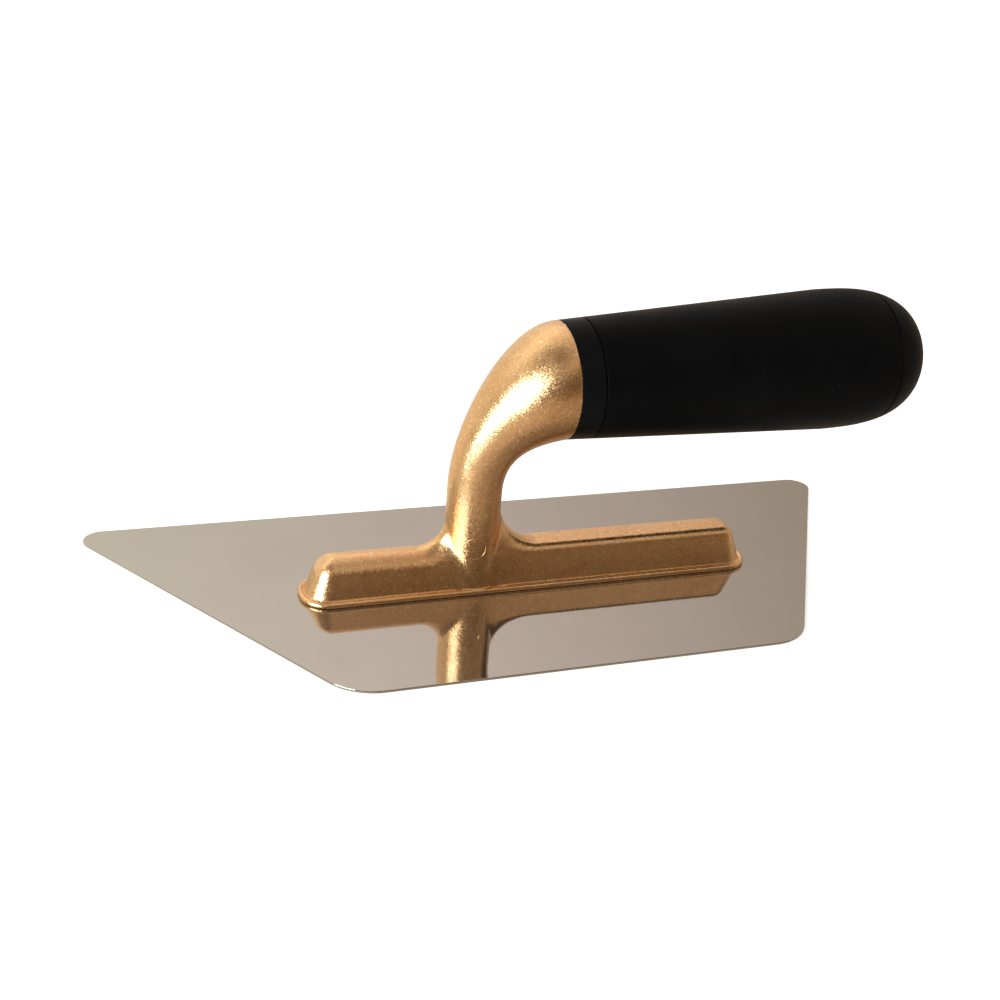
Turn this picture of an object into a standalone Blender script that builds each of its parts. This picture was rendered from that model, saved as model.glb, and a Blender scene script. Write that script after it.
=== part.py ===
"""A finishing trowel for inside corners.

A thin trapezoidal blade hangs under a die-cast mounting: a narrow flanged
base, a gooseneck and a tang. A moulded core, a soft sleeve and an end cap
make the grip, which a screw and a washer hold on the tang.

Metres, +Z up. The origin is the centre of the blade's working face, +X runs
towards the butt of the grip and +Y towards the blade's long edge.
"""

import math

import bmesh
import bpy
from mathutils import Matrix, Vector

# Blade: a symmetric trapezoid of thin sheet.
BLADE_LENGTH = 0.240
BLADE_WIDTH = 0.0995
BLADE_THICKNESS = 0.0007
BLADE_END_ANGLE = math.radians(58.1)
BLADE_TIP_RADIUS = 0.0055
BLADE_HEEL_RADIUS = 0.0150

# Air left between pieces that rest on each other, and round pieces that plug in.
SEAM = 0.0003
PLUG_CLEARANCE = 0.0003

# Base of the mounting: a flange round a tapered body.
BASE_LENGTH = 0.1350
BASE_CENTRE_X = 0.0015
FLANGE_WIDTH = 0.0176
FLANGE_THICKNESS = 0.0013
FLANGE_CORNER_RADIUS = 0.0078
FLANGE_LEDGE = 0.0016
BODY_HEIGHT = 0.0115
BODY_SIDE_DRAFT = 0.0027
BODY_END_DRAFT = 0.0044
BODY_EDGE_RADIUS = 0.0025

# Coring of the underside.
CORE_ROOF = 0.0028
CORE_SIDE_WALL = 0.0020
STUD_BOSS_WALL = 0.00125

# Gooseneck: round sections between two curves, its back and its throat. Each curve
# leaves the straight foot at its start, and reaches the head at an angle to the grip.
NECK_X = -0.0176
NECK_RADIUS = 0.0076
NECK_FRONT_FILLET = 0.0090
NECK_REAR_FILLET = 0.0135
BACK_START = 0.0299
BACK_LOWER_REACH = 0.0217
BACK_UPPER_REACH = 0.0121
BACK_ARRIVAL = math.radians(-1.5)
THROAT_START = 0.0285
THROAT_LOWER_REACH = 0.0103
THROAT_UPPER_REACH = 0.0102
THROAT_ARRIVAL = math.radians(-5.2)
HEAD_X = 0.0047
HEAD_Z = 0.0599

# Tang: a cross with a round middle, as long as the core lets it be.
TANG_REACH = 0.0080
TANG_ARM_THICKNESS = 0.0035
TANG_MIDDLE_RADIUS = 0.0042
TANG_ARM_STEP = 0.0020
TANG_ROOT = 0.0020

# Grip: a cone that ends in a superelliptic dome.
GRIP_RAKE = math.radians(2.07)
GRIP_LENGTH = 0.1096
GRIP_FRONT_RADIUS = 0.0162
GRIP_GREATEST_RADIUS = 0.0202
DOME_LENGTH = 0.0306
DOME_POWER = 3.0
COLLAR_LENGTH = 0.0066
SLEEVE_WALL = 0.0030
WEB_THICKNESS = 0.0040
REAR_CHAMBER_LENGTH = 0.0184
REAR_BORE_RADIUS = 0.0095
SPIGOT_LENGTH = 0.0070
CAP_LENGTH = 0.0139
CAP_WALL = 0.0020

# Fasteners.
STUD_COUNT = 6
STUD_RADIUS = 0.0020
STUD_HEIGHT = 0.0070
STUD_TIP_CHAMFER = 0.0005
STUD_FOOT_FLARE = 0.0007
STUD_FOOT_HEIGHT = 0.0008
STUD_END_MARGIN = 0.0110
SCREW_RADIUS = 0.0018
SCREW_GRIP = 0.0160
SCREW_HEAD_RADIUS = 0.0040
SCREW_HEAD_HEIGHT = 0.0026
SCREW_SOCKET_RADIUS = 0.0016
SCREW_SOCKET_DEPTH = 0.0016
SCREW_CHAMFER = 0.0006
WASHER_RADIUS = 0.0075
WASHER_THICKNESS = 0.0012

# Fineness of the round shapes.
GRIP_STEPS = 40
SMALL_STEPS = 16
ARC_STEPS = 6
NECK_STEPS = 16
NECK_SIDES = 40
DOME_STEPS = 8
CAP_STEPS = 10
EDGE_SEGMENTS = 3
WELD = 0.00001


def clear_scene():
    for old in list(bpy.data.objects):
        bpy.data.objects.remove(old)


def new_collection(name):
    collection = bpy.data.collections.new(name)
    bpy.context.scene.collection.children.link(collection)
    return collection


def finish(name, colour, roughness, metallic):
    material = bpy.data.materials.new(name)
    material.use_nodes = True
    shader = material.node_tree.nodes["Principled BSDF"]
    shader.inputs["Base Color"].default_value = (*colour, 1.0)
    shader.inputs["Roughness"].default_value = roughness
    shader.inputs["Metallic"].default_value = metallic
    return material


def place(name, data, collection, material=None, parent=None):
    obj = bpy.data.objects.new(name, data)
    collection.objects.link(obj)
    obj.parent = parent
    if material:
        data.materials.append(material)
    return obj


def as_helper(obj):
    obj.hide_render = True
    obj.display_type = "WIRE"
    return obj


def smooth(mesh, sharp_angle=math.radians(35)):
    mesh.shade_smooth()
    mesh.set_sharp_from_angle(angle=sharp_angle)


def boolean(obj, other, operation):
    modifier = obj.modifiers.new(f"{operation.lower()}_{other.name}", "BOOLEAN")
    modifier.object = other
    modifier.operation = operation
    modifier.solver = "EXACT"


def arc(centre, radius, start, end, steps=ARC_STEPS):
    """Points of a circular arc, both ends included, angles in degrees."""
    points = []
    for step in range(steps + 1):
        angle = math.radians(start + (end - start) * step / steps)
        points.append((centre[0] + radius * math.cos(angle), centre[1] + radius * math.sin(angle)))
    return points


def rounded(corners, radii):
    """The outline of a convex polygon, given anticlockwise, with each corner rounded."""
    outline = []
    for index, corner in enumerate(corners):
        point = Vector(corner)
        back = (Vector(corners[index - 1]) - point).normalized()
        ahead = (Vector(corners[(index + 1) % len(corners)]) - point).normalized()
        half = back.angle(ahead) / 2
        centre = point + (back + ahead).normalized() * radii[index] / math.sin(half)
        start = math.degrees(math.atan2(-ahead.y, -ahead.x)) - 90 + 2 * math.degrees(half)
        outline += arc(centre, radii[index], start, start + 180 - 2 * math.degrees(half))
    return outline


def plate_curve(name, outline, thickness):
    """A flat plate, centred on its own plane."""
    curve = bpy.data.curves.new(name, "CURVE")
    curve.dimensions = "2D"
    curve.fill_mode = "BOTH"
    curve.extrude = thickness / 2
    spline = curve.splines.new("POLY")
    spline.points.add(len(outline) - 1)
    for point, (x, y) in zip(spline.points, outline):
        point.co = (x, y, 0, 1)
    spline.use_cyclic_u = True
    return curve


def solid_from_curve(curve_object, collection):
    """The curve's evaluated body as a welded mesh object in the curve's place."""
    bpy.context.view_layer.update()
    graph = bpy.context.evaluated_depsgraph_get()
    mesh = bpy.data.meshes.new_from_object(curve_object.evaluated_get(graph))
    welder = bmesh.new()
    welder.from_mesh(mesh)
    bmesh.ops.remove_doubles(welder, verts=welder.verts, dist=WELD)
    welder.to_mesh(mesh)
    welder.free()
    name = curve_object.name
    matrix = curve_object.matrix_world.copy()
    bpy.data.objects.remove(curve_object)
    solid = place(name, mesh, collection)
    solid.matrix_world = matrix
    return solid


def box(name, low, high, collection, parent=None):
    builder = bmesh.new()
    bmesh.ops.create_cube(builder, size=1.0)
    middle = (Vector(low) + Vector(high)) / 2
    size = Vector(high) - Vector(low)
    for vertex in builder.verts:
        vertex.co = Vector(component * side for component, side in zip(vertex.co, size)) + middle
    mesh = bpy.data.meshes.new(name)
    builder.to_mesh(mesh)
    builder.free()
    return place(name, mesh, collection, parent=parent)


def profile_mesh(name, profile, closed):
    count = len(profile)
    edges = [(index, index + 1) for index in range(count - 1)]
    if closed:
        edges.append((count - 1, 0))
    mesh = bpy.data.meshes.new(name)
    mesh.from_pydata([(radius, 0, height) for radius, height in profile], edges, [])
    return mesh


def spin(obj, steps):
    """Turns an object's profile once round its local Z."""
    screw = obj.modifiers.new("turn", "SCREW")
    screw.steps = steps
    screw.render_steps = steps
    screw.use_merge_vertices = True
    screw.merge_threshold = WELD
    screw.use_smooth_shade = True
    return obj


def turned(name, profile, steps, collection, material=None, parent=None, closed=False):
    return spin(place(name, profile_mesh(name, profile, closed), collection, material, parent), steps)


def blade_outline():
    """The trapezoid whose rounded tips, not its sharp corners, span the length."""
    run_out = BLADE_WIDTH / math.tan(BLADE_END_ANGLE)
    tip_loss = BLADE_TIP_RADIUS / math.tan(BLADE_END_ANGLE / 2) - BLADE_TIP_RADIUS
    long_half = BLADE_LENGTH / 2 + tip_loss
    short_half = long_half - run_out
    side = BLADE_WIDTH / 2
    corners = [(-short_half, -side), (short_half, -side), (long_half, side), (-long_half, side)]
    radii = [BLADE_HEEL_RADIUS, BLADE_HEEL_RADIUS, BLADE_TIP_RADIUS, BLADE_TIP_RADIUS]
    return rounded(corners, radii)


def add_blade(parts):
    blade = place(
        "blade",
        plate_curve("blade", blade_outline(), BLADE_THICKNESS),
        parts,
        finish("mirror_stainless", (0.62, 0.58, 0.53), 0.06, 1.0),
    )
    blade.location.z = BLADE_THICKNESS / 2


def stud_profile(clearance):
    """A weld stud from its tip down; with a clearance, the hole that takes it."""
    tip = STUD_HEIGHT + clearance
    shank = STUD_RADIUS + clearance
    foot = STUD_RADIUS + STUD_FOOT_FLARE + clearance
    shoulder = STUD_FOOT_HEIGHT + clearance
    bottom = -2 * clearance
    return [
        (0, tip),
        (shank - STUD_TIP_CHAMFER, tip),
        (shank, tip - STUD_TIP_CHAMFER),
        (shank, shoulder),
        (foot, shoulder),
        (foot, bottom),
        (0, bottom),
    ]


def stud_places():
    span = BASE_LENGTH - 2 * STUD_END_MARGIN
    first = BASE_CENTRE_X - span / 2
    return [first + span * index / (STUD_COUNT - 1) for index in range(STUD_COUNT)]


def add_studs(parts):
    steel = finish("stud_steel", (0.55, 0.56, 0.58), 0.35, 1.0)
    mesh = profile_mesh("blade_stud", stud_profile(0), closed=False)
    mesh.materials.append(steel)
    for number, x in enumerate(stud_places(), start=1):
        stud = spin(place(f"blade_stud_{number}", mesh, parts), SMALL_STEPS)
        stud.location = (x, 0, base_bottom())


def base_bottom():
    return BLADE_THICKNESS + SEAM


def body_top():
    return base_bottom() + BODY_HEIGHT


def body_half_width(height):
    """Half the tapered body's width at a height above the underside."""
    foot = FLANGE_WIDTH / 2 - FLANGE_LEDGE
    return foot - BODY_SIDE_DRAFT * height / BODY_HEIGHT


def add_body(helpers):
    """The tapered body of the base, sunk half way into the flange."""
    half_length = BASE_LENGTH / 2 - FLANGE_LEDGE
    body = box(
        "mounting_casting",
        (BASE_CENTRE_X - half_length, -1, base_bottom() + FLANGE_THICKNESS / 2),
        (BASE_CENTRE_X + half_length, 1, body_top()),
        helpers,
    )
    builder = bmesh.new()
    builder.from_mesh(body.data)
    for vertex in builder.verts:
        top = vertex.co.z > base_bottom() + BODY_HEIGHT / 2
        vertex.co.y *= body_half_width(BODY_HEIGHT if top else FLANGE_THICKNESS)
        if top:
            vertex.co.x += math.copysign(BODY_END_DRAFT, BASE_CENTRE_X - vertex.co.x)
    upper = [
        edge
        for edge in builder.edges
        if max(vertex.co.z for vertex in edge.verts) > base_bottom() + BODY_HEIGHT / 2
    ]
    bmesh.ops.bevel(builder, geom=upper, offset=BODY_EDGE_RADIUS, segments=EDGE_SEGMENTS, affect="EDGES")
    builder.to_mesh(body.data)
    builder.free()
    return body


def add_flange(helpers):
    half_length = BASE_LENGTH / 2
    half_width = FLANGE_WIDTH / 2
    corners = [
        (-half_length, -half_width),
        (half_length, -half_width),
        (half_length, half_width),
        (-half_length, half_width),
    ]
    corner_radius = min(FLANGE_CORNER_RADIUS, half_width - FLANGE_LEDGE / 2)
    outline = rounded(corners, [corner_radius] * 4)
    flange = place("flange", plate_curve("flange", outline, FLANGE_THICKNESS), helpers)
    flange.location = (BASE_CENTRE_X, 0, base_bottom() + FLANGE_THICKNESS / 2)
    return as_helper(solid_from_curve(flange, helpers))


def bezier(controls, t):
    start, low, high, end = controls
    return (1 - t) ** 3 * start + 3 * (1 - t) ** 2 * t * low + 3 * (1 - t) * t**2 * high + t**3 * end


def neck_curve(side, start_height, lower_reach, upper_reach, arrival):
    """Control points of the gooseneck's back (side 1) or of its throat (side -1)."""
    along = Vector((math.cos(GRIP_RAKE), 0, math.sin(GRIP_RAKE)))
    outwards = Vector((-along.z, 0, along.x)) * side
    start = Vector((NECK_X - side * NECK_RADIUS, 0, start_height))
    end = Vector((HEAD_X, 0, HEAD_Z)) + outwards * GRIP_FRONT_RADIUS
    direction = along * math.cos(arrival) + outwards * math.sin(arrival)
    return start, start + Vector((0, 0, lower_reach)), end - direction * upper_reach, end


def neck_sections():
    """Pairs of opposite points, on the back and in the throat, from the foot to the head's face."""
    back = neck_curve(1, BACK_START, BACK_LOWER_REACH, BACK_UPPER_REACH, BACK_ARRIVAL)
    throat = neck_curve(-1, THROAT_START, THROAT_LOWER_REACH, THROAT_UPPER_REACH, THROAT_ARRIVAL)
    foot = base_bottom() + FLANGE_THICKNESS / 4
    pairs = [(Vector((back[0].x, 0, foot)), Vector((throat[0].x, 0, foot)))]
    for step in range(NECK_STEPS + 1):
        pairs.append((bezier(back, step / NECK_STEPS), bezier(throat, step / NECK_STEPS)))
    return pairs


def add_neck(helpers):
    builder = bmesh.new()
    rings = []
    for back, throat in neck_sections():
        half = (back - throat) / 2
        side = Vector((0, half.length, 0))
        turns = [2 * math.pi * index / NECK_SIDES for index in range(NECK_SIDES)]
        ring = [(back + throat) / 2 + half * math.cos(turn) + side * math.sin(turn) for turn in turns]
        rings.append([builder.verts.new(point) for point in ring])
    for lower, upper in zip(rings, rings[1:]):
        for index in range(NECK_SIDES):
            builder.faces.new((lower[index - 1], lower[index], upper[index], upper[index - 1]))
    builder.faces.new(rings[0])
    builder.faces.new(rings[-1])
    bmesh.ops.recalc_face_normals(builder, faces=builder.faces)
    mesh = bpy.data.meshes.new("gooseneck")
    builder.to_mesh(mesh)
    builder.free()
    return as_helper(place("gooseneck", mesh, helpers))


def add_neck_web(helpers):
    """The web whose hollow edges blend the neck into the top of the base."""
    sunk = BODY_EDGE_RADIUS
    front = (NECK_X - NECK_RADIUS - NECK_FRONT_FILLET, body_top() + NECK_FRONT_FILLET)
    rear = (NECK_X + NECK_RADIUS + NECK_REAR_FILLET, body_top() + NECK_REAR_FILLET)
    outline = [(front[0], body_top() - sunk), (rear[0], body_top() - sunk)]
    outline += arc(rear, NECK_REAR_FILLET, 270, 180)
    outline += arc(front, NECK_FRONT_FILLET, 0, -90)
    width = 2 * (body_half_width(BODY_HEIGHT) - BODY_EDGE_RADIUS / 2)
    web = place("neck_web", plate_curve("neck_web", outline, width), helpers)
    web.rotation_euler.x = math.radians(90)
    return as_helper(solid_from_curve(web, helpers))


def cross_outline(reach, half_arm):
    """A plus sign, anticlockwise from the lower side of its right arm."""
    quarter = [Vector((reach, -half_arm)), Vector((reach, half_arm)), Vector((half_arm, half_arm))]
    outline = []
    for quarter_turns in range(4):
        turn = Matrix.Rotation(math.radians(90 * quarter_turns), 2)
        outline += [turn @ corner for corner in quarter]
    return outline


def tang_pieces(prefix, clearance, collection, axis):
    """The cross and the round middle of the tang, or the cutters for the bore round them."""
    start = -TANG_ROOT
    arm_end = tang_length() - TANG_ARM_STEP + clearance
    outline = cross_outline(TANG_REACH + clearance, TANG_ARM_THICKNESS / 2 + clearance)
    cross_curve = plate_curve(f"{prefix}_cross", outline, arm_end - start)
    cross = place(cross_curve.name, cross_curve, collection, parent=axis)
    cross.location.z = (arm_end + start) / 2
    middle_end = tang_length() + clearance
    radius = TANG_MIDDLE_RADIUS + clearance
    profile = [(0, middle_end), (radius, middle_end), (radius, 2 * start), (0, 2 * start)]
    middle = turned(f"{prefix}_middle", profile, SMALL_STEPS, collection, parent=axis)
    return [as_helper(middle), as_helper(solid_from_curve(cross, collection))]


def add_stud_holes(helpers):
    holes = []
    for number, x in enumerate(stud_places(), start=1):
        hole = turned(f"stud_hole_{number}", stud_profile(PLUG_CLEARANCE), SMALL_STEPS, helpers)
        hole.location = (x, 0, base_bottom())
        holes.append(as_helper(hole))
    return holes


def add_underside_pockets(helpers):
    """Coring between the stud bosses, left out under the neck."""
    height = BODY_HEIGHT - CORE_ROOF
    half_width = body_half_width(height) - CORE_SIDE_WALL
    boss_radius = STUD_RADIUS + STUD_FOOT_FLARE + PLUG_CLEARANCE + STUD_BOSS_WALL
    places = stud_places()
    pockets = []
    for left, right in zip(places, places[1:]):
        low = left + boss_radius
        high = right - boss_radius
        under_neck = low < NECK_X + NECK_RADIUS and high > NECK_X - NECK_RADIUS
        if under_neck:
            continue
        pocket = box(
            f"pocket_{len(pockets) + 1}",
            (low, -half_width, base_bottom() - SEAM),
            (high, half_width, base_bottom() + height),
            helpers,
        )
        pockets.append(as_helper(pocket))
    return pockets


def add_tang_screw_hole(helpers, axis):
    radius = SCREW_RADIUS + PLUG_CLEARANCE
    top = tang_length() + SEAM
    bottom = tang_length() - SCREW_GRIP - PLUG_CLEARANCE
    profile = [(0, top), (radius, top), (radius, bottom), (0, bottom)]
    return as_helper(turned("tang_screw_hole", profile, SMALL_STEPS, helpers, parent=axis))


def add_casting(parts, helpers, axis):
    casting = add_body(parts)
    casting.data.materials.append(finish("cast_champagne", (0.60, 0.38, 0.20), 0.38, 1.0))
    joined = [add_flange(helpers), add_neck(helpers), add_neck_web(helpers)]
    joined += tang_pieces("tang", 0, helpers, axis)
    for piece in joined:
        boolean(casting, piece, "UNION")
    cut = add_stud_holes(helpers) + add_underside_pockets(helpers)
    cut.append(add_tang_screw_hole(helpers, axis))
    for piece in cut:
        boolean(casting, piece, "DIFFERENCE")
    smooth(casting.data)


def grip_radius(distance):
    """The grip's outer radius at a distance behind the head's face."""
    shoulder = GRIP_LENGTH - DOME_LENGTH
    if distance <= shoulder:
        return GRIP_FRONT_RADIUS + (GRIP_GREATEST_RADIUS - GRIP_FRONT_RADIUS) * distance / shoulder
    share = (distance - shoulder) / DOME_LENGTH
    return GRIP_GREATEST_RADIUS * (1 - share**DOME_POWER) ** (1 / DOME_POWER)


def sleeve_span():
    return COLLAR_LENGTH + SEAM, GRIP_LENGTH - CAP_LENGTH - SEAM


def web_span():
    """The core's web, which leaves a chamber between itself and the cap's spigot."""
    end = GRIP_LENGTH - CAP_LENGTH - SPIGOT_LENGTH - REAR_CHAMBER_LENGTH
    return end - WEB_THICKNESS, end


def tang_length():
    return web_span()[0] - PLUG_CLEARANCE


def sleeve_stations():
    """Distances along the sleeve: the cone's two ends, then the start of the dome."""
    start, end = sleeve_span()
    shoulder = GRIP_LENGTH - DOME_LENGTH
    dome = [shoulder + (end - shoulder) * step / DOME_STEPS for step in range(DOME_STEPS + 1)]
    return [start] + dome


def core_radius(distance):
    return grip_radius(distance) - SLEEVE_WALL - PLUG_CLEARANCE


def add_grip_core(parts, helpers, axis):
    """A rigid tube with a collar in front, a web across it and a bore behind."""
    web_start, web_end = web_span()
    rear = sleeve_span()[1]
    hole = SCREW_RADIUS + 2 * PLUG_CLEARANCE
    profile = [(core_radius(distance), distance) for distance in reversed(sleeve_stations())]
    profile[-1] = (core_radius(COLLAR_LENGTH), COLLAR_LENGTH)
    profile += [
        (grip_radius(COLLAR_LENGTH), COLLAR_LENGTH),
        (grip_radius(SEAM), SEAM),
        (hole, SEAM),
        (hole, web_end),
        (REAR_BORE_RADIUS, web_end),
        (REAR_BORE_RADIUS, rear),
    ]
    black = finish("core_black", (0.012, 0.012, 0.013), 0.45, 0.0)
    core = turned("grip_core", profile, GRIP_STEPS, parts, black, axis, closed=True)
    for cutter in tang_pieces("tang_bore", PLUG_CLEARANCE, helpers, axis):
        boolean(core, cutter, "DIFFERENCE")


def add_grip_sleeve(parts, axis):
    stations = sleeve_stations()
    outside = [(grip_radius(distance), distance) for distance in reversed(stations)]
    inside = [(grip_radius(distance) - SLEEVE_WALL, distance) for distance in stations]
    black = finish("sleeve_black", (0.010, 0.010, 0.011), 0.55, 0.0)
    turned("grip_sleeve", outside + inside, GRIP_STEPS, parts, black, axis, closed=True)


def add_end_cap(parts, axis):
    """The dome that closes the grip, with a spigot in the core's rear bore."""
    face = GRIP_LENGTH - CAP_LENGTH
    spigot = REAR_BORE_RADIUS - PLUG_CLEARANCE
    shoulder = GRIP_LENGTH - DOME_LENGTH
    first = math.asin(((face - shoulder) / DOME_LENGTH) ** (DOME_POWER / 2))
    profile = []
    for step in range(CAP_STEPS + 1):
        angle = math.pi / 2 + (first - math.pi / 2) * step / CAP_STEPS
        radius = GRIP_GREATEST_RADIUS * max(math.cos(angle), 0) ** (2 / DOME_POWER)
        along = shoulder + DOME_LENGTH * math.sin(angle) ** (2 / DOME_POWER)
        profile.append((radius if step else 0, along))
    profile += [
        (spigot, face),
        (spigot, face - SPIGOT_LENGTH),
        (spigot - CAP_WALL, face - SPIGOT_LENGTH),
        (spigot - CAP_WALL, face + CAP_WALL),
        (0, face + CAP_WALL),
    ]
    black = finish("cap_black", (0.011, 0.011, 0.012), 0.50, 0.0)
    turned("grip_end_cap", profile, GRIP_STEPS, parts, black, axis)


def add_washer(parts, axis):
    bottom = web_span()[1] + SEAM
    top = bottom + WASHER_THICKNESS
    hole = SCREW_RADIUS + PLUG_CLEARANCE
    profile = [(WASHER_RADIUS, top), (WASHER_RADIUS, bottom), (hole, bottom), (hole, top)]
    steel = finish("washer_steel", (0.60, 0.60, 0.60), 0.35, 1.0)
    turned("tang_washer", profile, SMALL_STEPS * 2, parts, steel, axis, closed=True)


def add_screw(parts, helpers, axis):
    """A socket-head screw through the web into the end of the tang."""
    seat = web_span()[1] + WASHER_THICKNESS + 2 * SEAM
    top = seat + SCREW_HEAD_HEIGHT
    tip = tang_length() - SCREW_GRIP
    profile = [
        (0, top),
        (SCREW_HEAD_RADIUS - SCREW_CHAMFER, top),
        (SCREW_HEAD_RADIUS, top - SCREW_CHAMFER),
        (SCREW_HEAD_RADIUS, seat),
        (SCREW_RADIUS, seat),
        (SCREW_RADIUS, tip + SCREW_CHAMFER),
        (SCREW_RADIUS - SCREW_CHAMFER, tip),
        (0, tip),
    ]
    zinc = finish("screw_zinc", (0.62, 0.61, 0.57), 0.30, 1.0)
    screw = turned("tang_screw", profile, SMALL_STEPS, parts, zinc, axis)
    socket = [
        (0, top + SEAM),
        (SCREW_SOCKET_RADIUS, top + SEAM),
        (SCREW_SOCKET_RADIUS, top - SCREW_SOCKET_DEPTH),
        (0, top - SCREW_SOCKET_DEPTH),
    ]
    hex_cutter = as_helper(turned("screw_socket", socket, 6, helpers, parent=axis))
    boolean(screw, hex_cutter, "DIFFERENCE")


def grip_axis(collection):
    """An empty at the middle of the head's face whose Z runs back along the grip."""
    axis = place("grip_axis", None, collection)
    axis.location = (HEAD_X, 0, HEAD_Z)
    axis.rotation_euler.y = math.radians(90) - GRIP_RAKE
    return axis


def main():
    clear_scene()
    parts = new_collection("inside_corner_trowel")
    helpers = new_collection("cutters")
    axis = grip_axis(parts)
    bpy.context.view_layer.update()
    add_blade(parts)
    add_studs(parts)
    add_casting(parts, helpers, axis)
    add_grip_core(parts, helpers, axis)
    add_grip_sleeve(parts, axis)
    add_end_cap(parts, axis)
    add_washer(parts, axis)
    add_screw(parts, helpers, axis)


main()
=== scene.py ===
"""The looks of an inside corner trowel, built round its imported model.

The casting is one smooth surface drawn from a distance field, the blade is a ground and
polished sheet, and the three pieces of the grip are turned. Metres, +Z up, row frame.
"""

import math

import bmesh
import bpy
import numpy as np
from mathutils import Matrix, Vector


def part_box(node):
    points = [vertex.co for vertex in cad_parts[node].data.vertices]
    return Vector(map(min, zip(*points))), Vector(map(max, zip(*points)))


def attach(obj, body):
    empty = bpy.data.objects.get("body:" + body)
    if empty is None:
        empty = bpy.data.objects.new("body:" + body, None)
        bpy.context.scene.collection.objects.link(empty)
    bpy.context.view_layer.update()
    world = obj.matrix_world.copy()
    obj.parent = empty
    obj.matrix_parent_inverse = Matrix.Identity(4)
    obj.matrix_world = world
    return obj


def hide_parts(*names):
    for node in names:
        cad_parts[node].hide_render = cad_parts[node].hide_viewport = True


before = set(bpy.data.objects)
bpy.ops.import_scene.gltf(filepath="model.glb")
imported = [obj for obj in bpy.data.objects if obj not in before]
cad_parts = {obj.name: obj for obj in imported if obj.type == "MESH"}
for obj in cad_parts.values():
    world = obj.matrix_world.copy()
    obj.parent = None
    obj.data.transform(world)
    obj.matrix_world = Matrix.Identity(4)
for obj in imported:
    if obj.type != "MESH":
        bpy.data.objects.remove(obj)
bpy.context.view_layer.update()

# Camera: where it stands, what it looks at, and how far it leans.
CAMERA_PLACE = Vector((-0.12525, -0.30397, 0.17318))
CAMERA_TARGET = Vector((-0.00991, 0.0, 0.02528))
CAMERA_LEAN = math.radians(4.63)
CAMERA_LENS = 46.264
CAMERA_SENSOR = 36.0
CAMERA_CLIP = (0.01, 100.0)

# Blade: a trapezoid with rounded corners and a fine break along its edges.
BLADE_END_ANGLE = math.radians(58.1)
TIP_RADIUS = 0.0055
HEEL_RADIUS = 0.0150
BLADE_EDGE_BREAK = 0.00012
BREAK_ROUNDING = 0.3
CORNER_STEPS = 28

# Base of the casting.
BASE_LENGTH = 0.1350
FLANGE_HALF_WIDTH = 0.0088
FLANGE_TOP = 0.00110
FLANGE_CORNER_RADIUS = 0.0078
FLANGE_EDGE_RADIUS = 0.0004
FLANGE_BEAD_RADIUS = 0.00078
FLANGE_BEAD_FILLET = 0.00015
FLANGE_LEDGE = 0.0016
CONTACT_GAP = 0.00004
BODY_TOP = 0.0118
BODY_HALF_WIDTH = 0.0073
BODY_SIDE_DRAFT = 0.0026
BODY_END_DRAFT = 0.0042
BODY_CORNER_RADIUS = 0.0062
BODY_CORNER_DRAFT = 0.0030
BODY_FRONT_EDGE_RADIUS = 0.0044
BODY_REAR_EDGE_RADIUS = 0.0021
FOOT_FILLET = 0.0004

# Gooseneck: round sections between its back and its throat.
NECK_X = -0.0176
NECK_RADIUS = 0.00758
BACK = {"start": 0.02985, "lower": 0.02169, "upper": 0.01214, "arrival": math.radians(-1.5)}
THROAT = {"start": 0.02852, "lower": 0.01028, "upper": 0.01020, "arrival": math.radians(-5.2)}
NECK_SAMPLES = 120
NECK_FOOT_DEPTH = -0.004
NECK_RUN_ON = (0.0005, 0.004, 8)
NECK_BATCH = 20000
FRONT_FILLET = 0.0085
REAR_FILLET = 0.0125
SIDE_FILLET = 0.0015
NECK_FOOT_FLARE = 0.00035
NECK_FLARE_TOP = 0.0240
HEAD_EDGE_RADIUS = 0.00025

# Round mark of an ejector pin on the near side of the neck's foot.
PIN_MARK_X = -0.0189
PIN_MARK_Z = 0.0145
PIN_MARK_RADIUS = 0.0031
PIN_MARK_RIB = 0.00012
PIN_MARK_START = -1.3 * NECK_RADIUS
PIN_MARK_ROUNDS = 30

# Tang.
TANG_LENGTH = 0.0660
TANG_REACH = 0.0080
TANG_ARM_THICKNESS = 0.0035
TANG_ROOT = 0.0040

# Grip.
GRIP_RAKE = math.radians(2.07)
WASHER_SETBACK = 0.0712
GRIP_LENGTH = 0.1096
GRIP_FRONT_RADIUS = 0.0162
GRIP_GREATEST_RADIUS = 0.02015
DOME_LENGTH = 0.0306
DOME_POWER = 3.0
COLLAR_LENGTH = 0.0066
CAP_LENGTH = 0.0139
SLEEVE_WALL = 0.0030
REAR_BORE_RADIUS = 0.0095
SPIGOT_LENGTH = 0.0070
CAP_WALL = 0.0020
TANG_BORE_RADIUS = 0.0085
REAR_CHAMBER_LENGTH = 0.0184
WEB_THICKNESS = 0.0040
SCREW_HOLE_RADIUS = 0.0024
GRIP_SEAM = 0.0003
COLLAR_FACE_GAP = 0.00005
LIP_RADIUS = 0.00022
LIP_STEPS = 4
COLLAR_STEPS = 8
SLEEVE_STEPS = 60
DOME_STEPS = 48
INNER_STEPS = 24
PARTING_TILT = math.radians(26)
PARTING_HEIGHT = 0.00006
PARTING_WIDTH = 0.00022
PARTING_PLACES = (-2.5, -1.5, -1, -0.5, 0, 0.5, 1, 1.5, 2.5)
PARTING_END_GAP = 0.0003
TURN_STEPS = 192
HAIR = 1e-6

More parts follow.
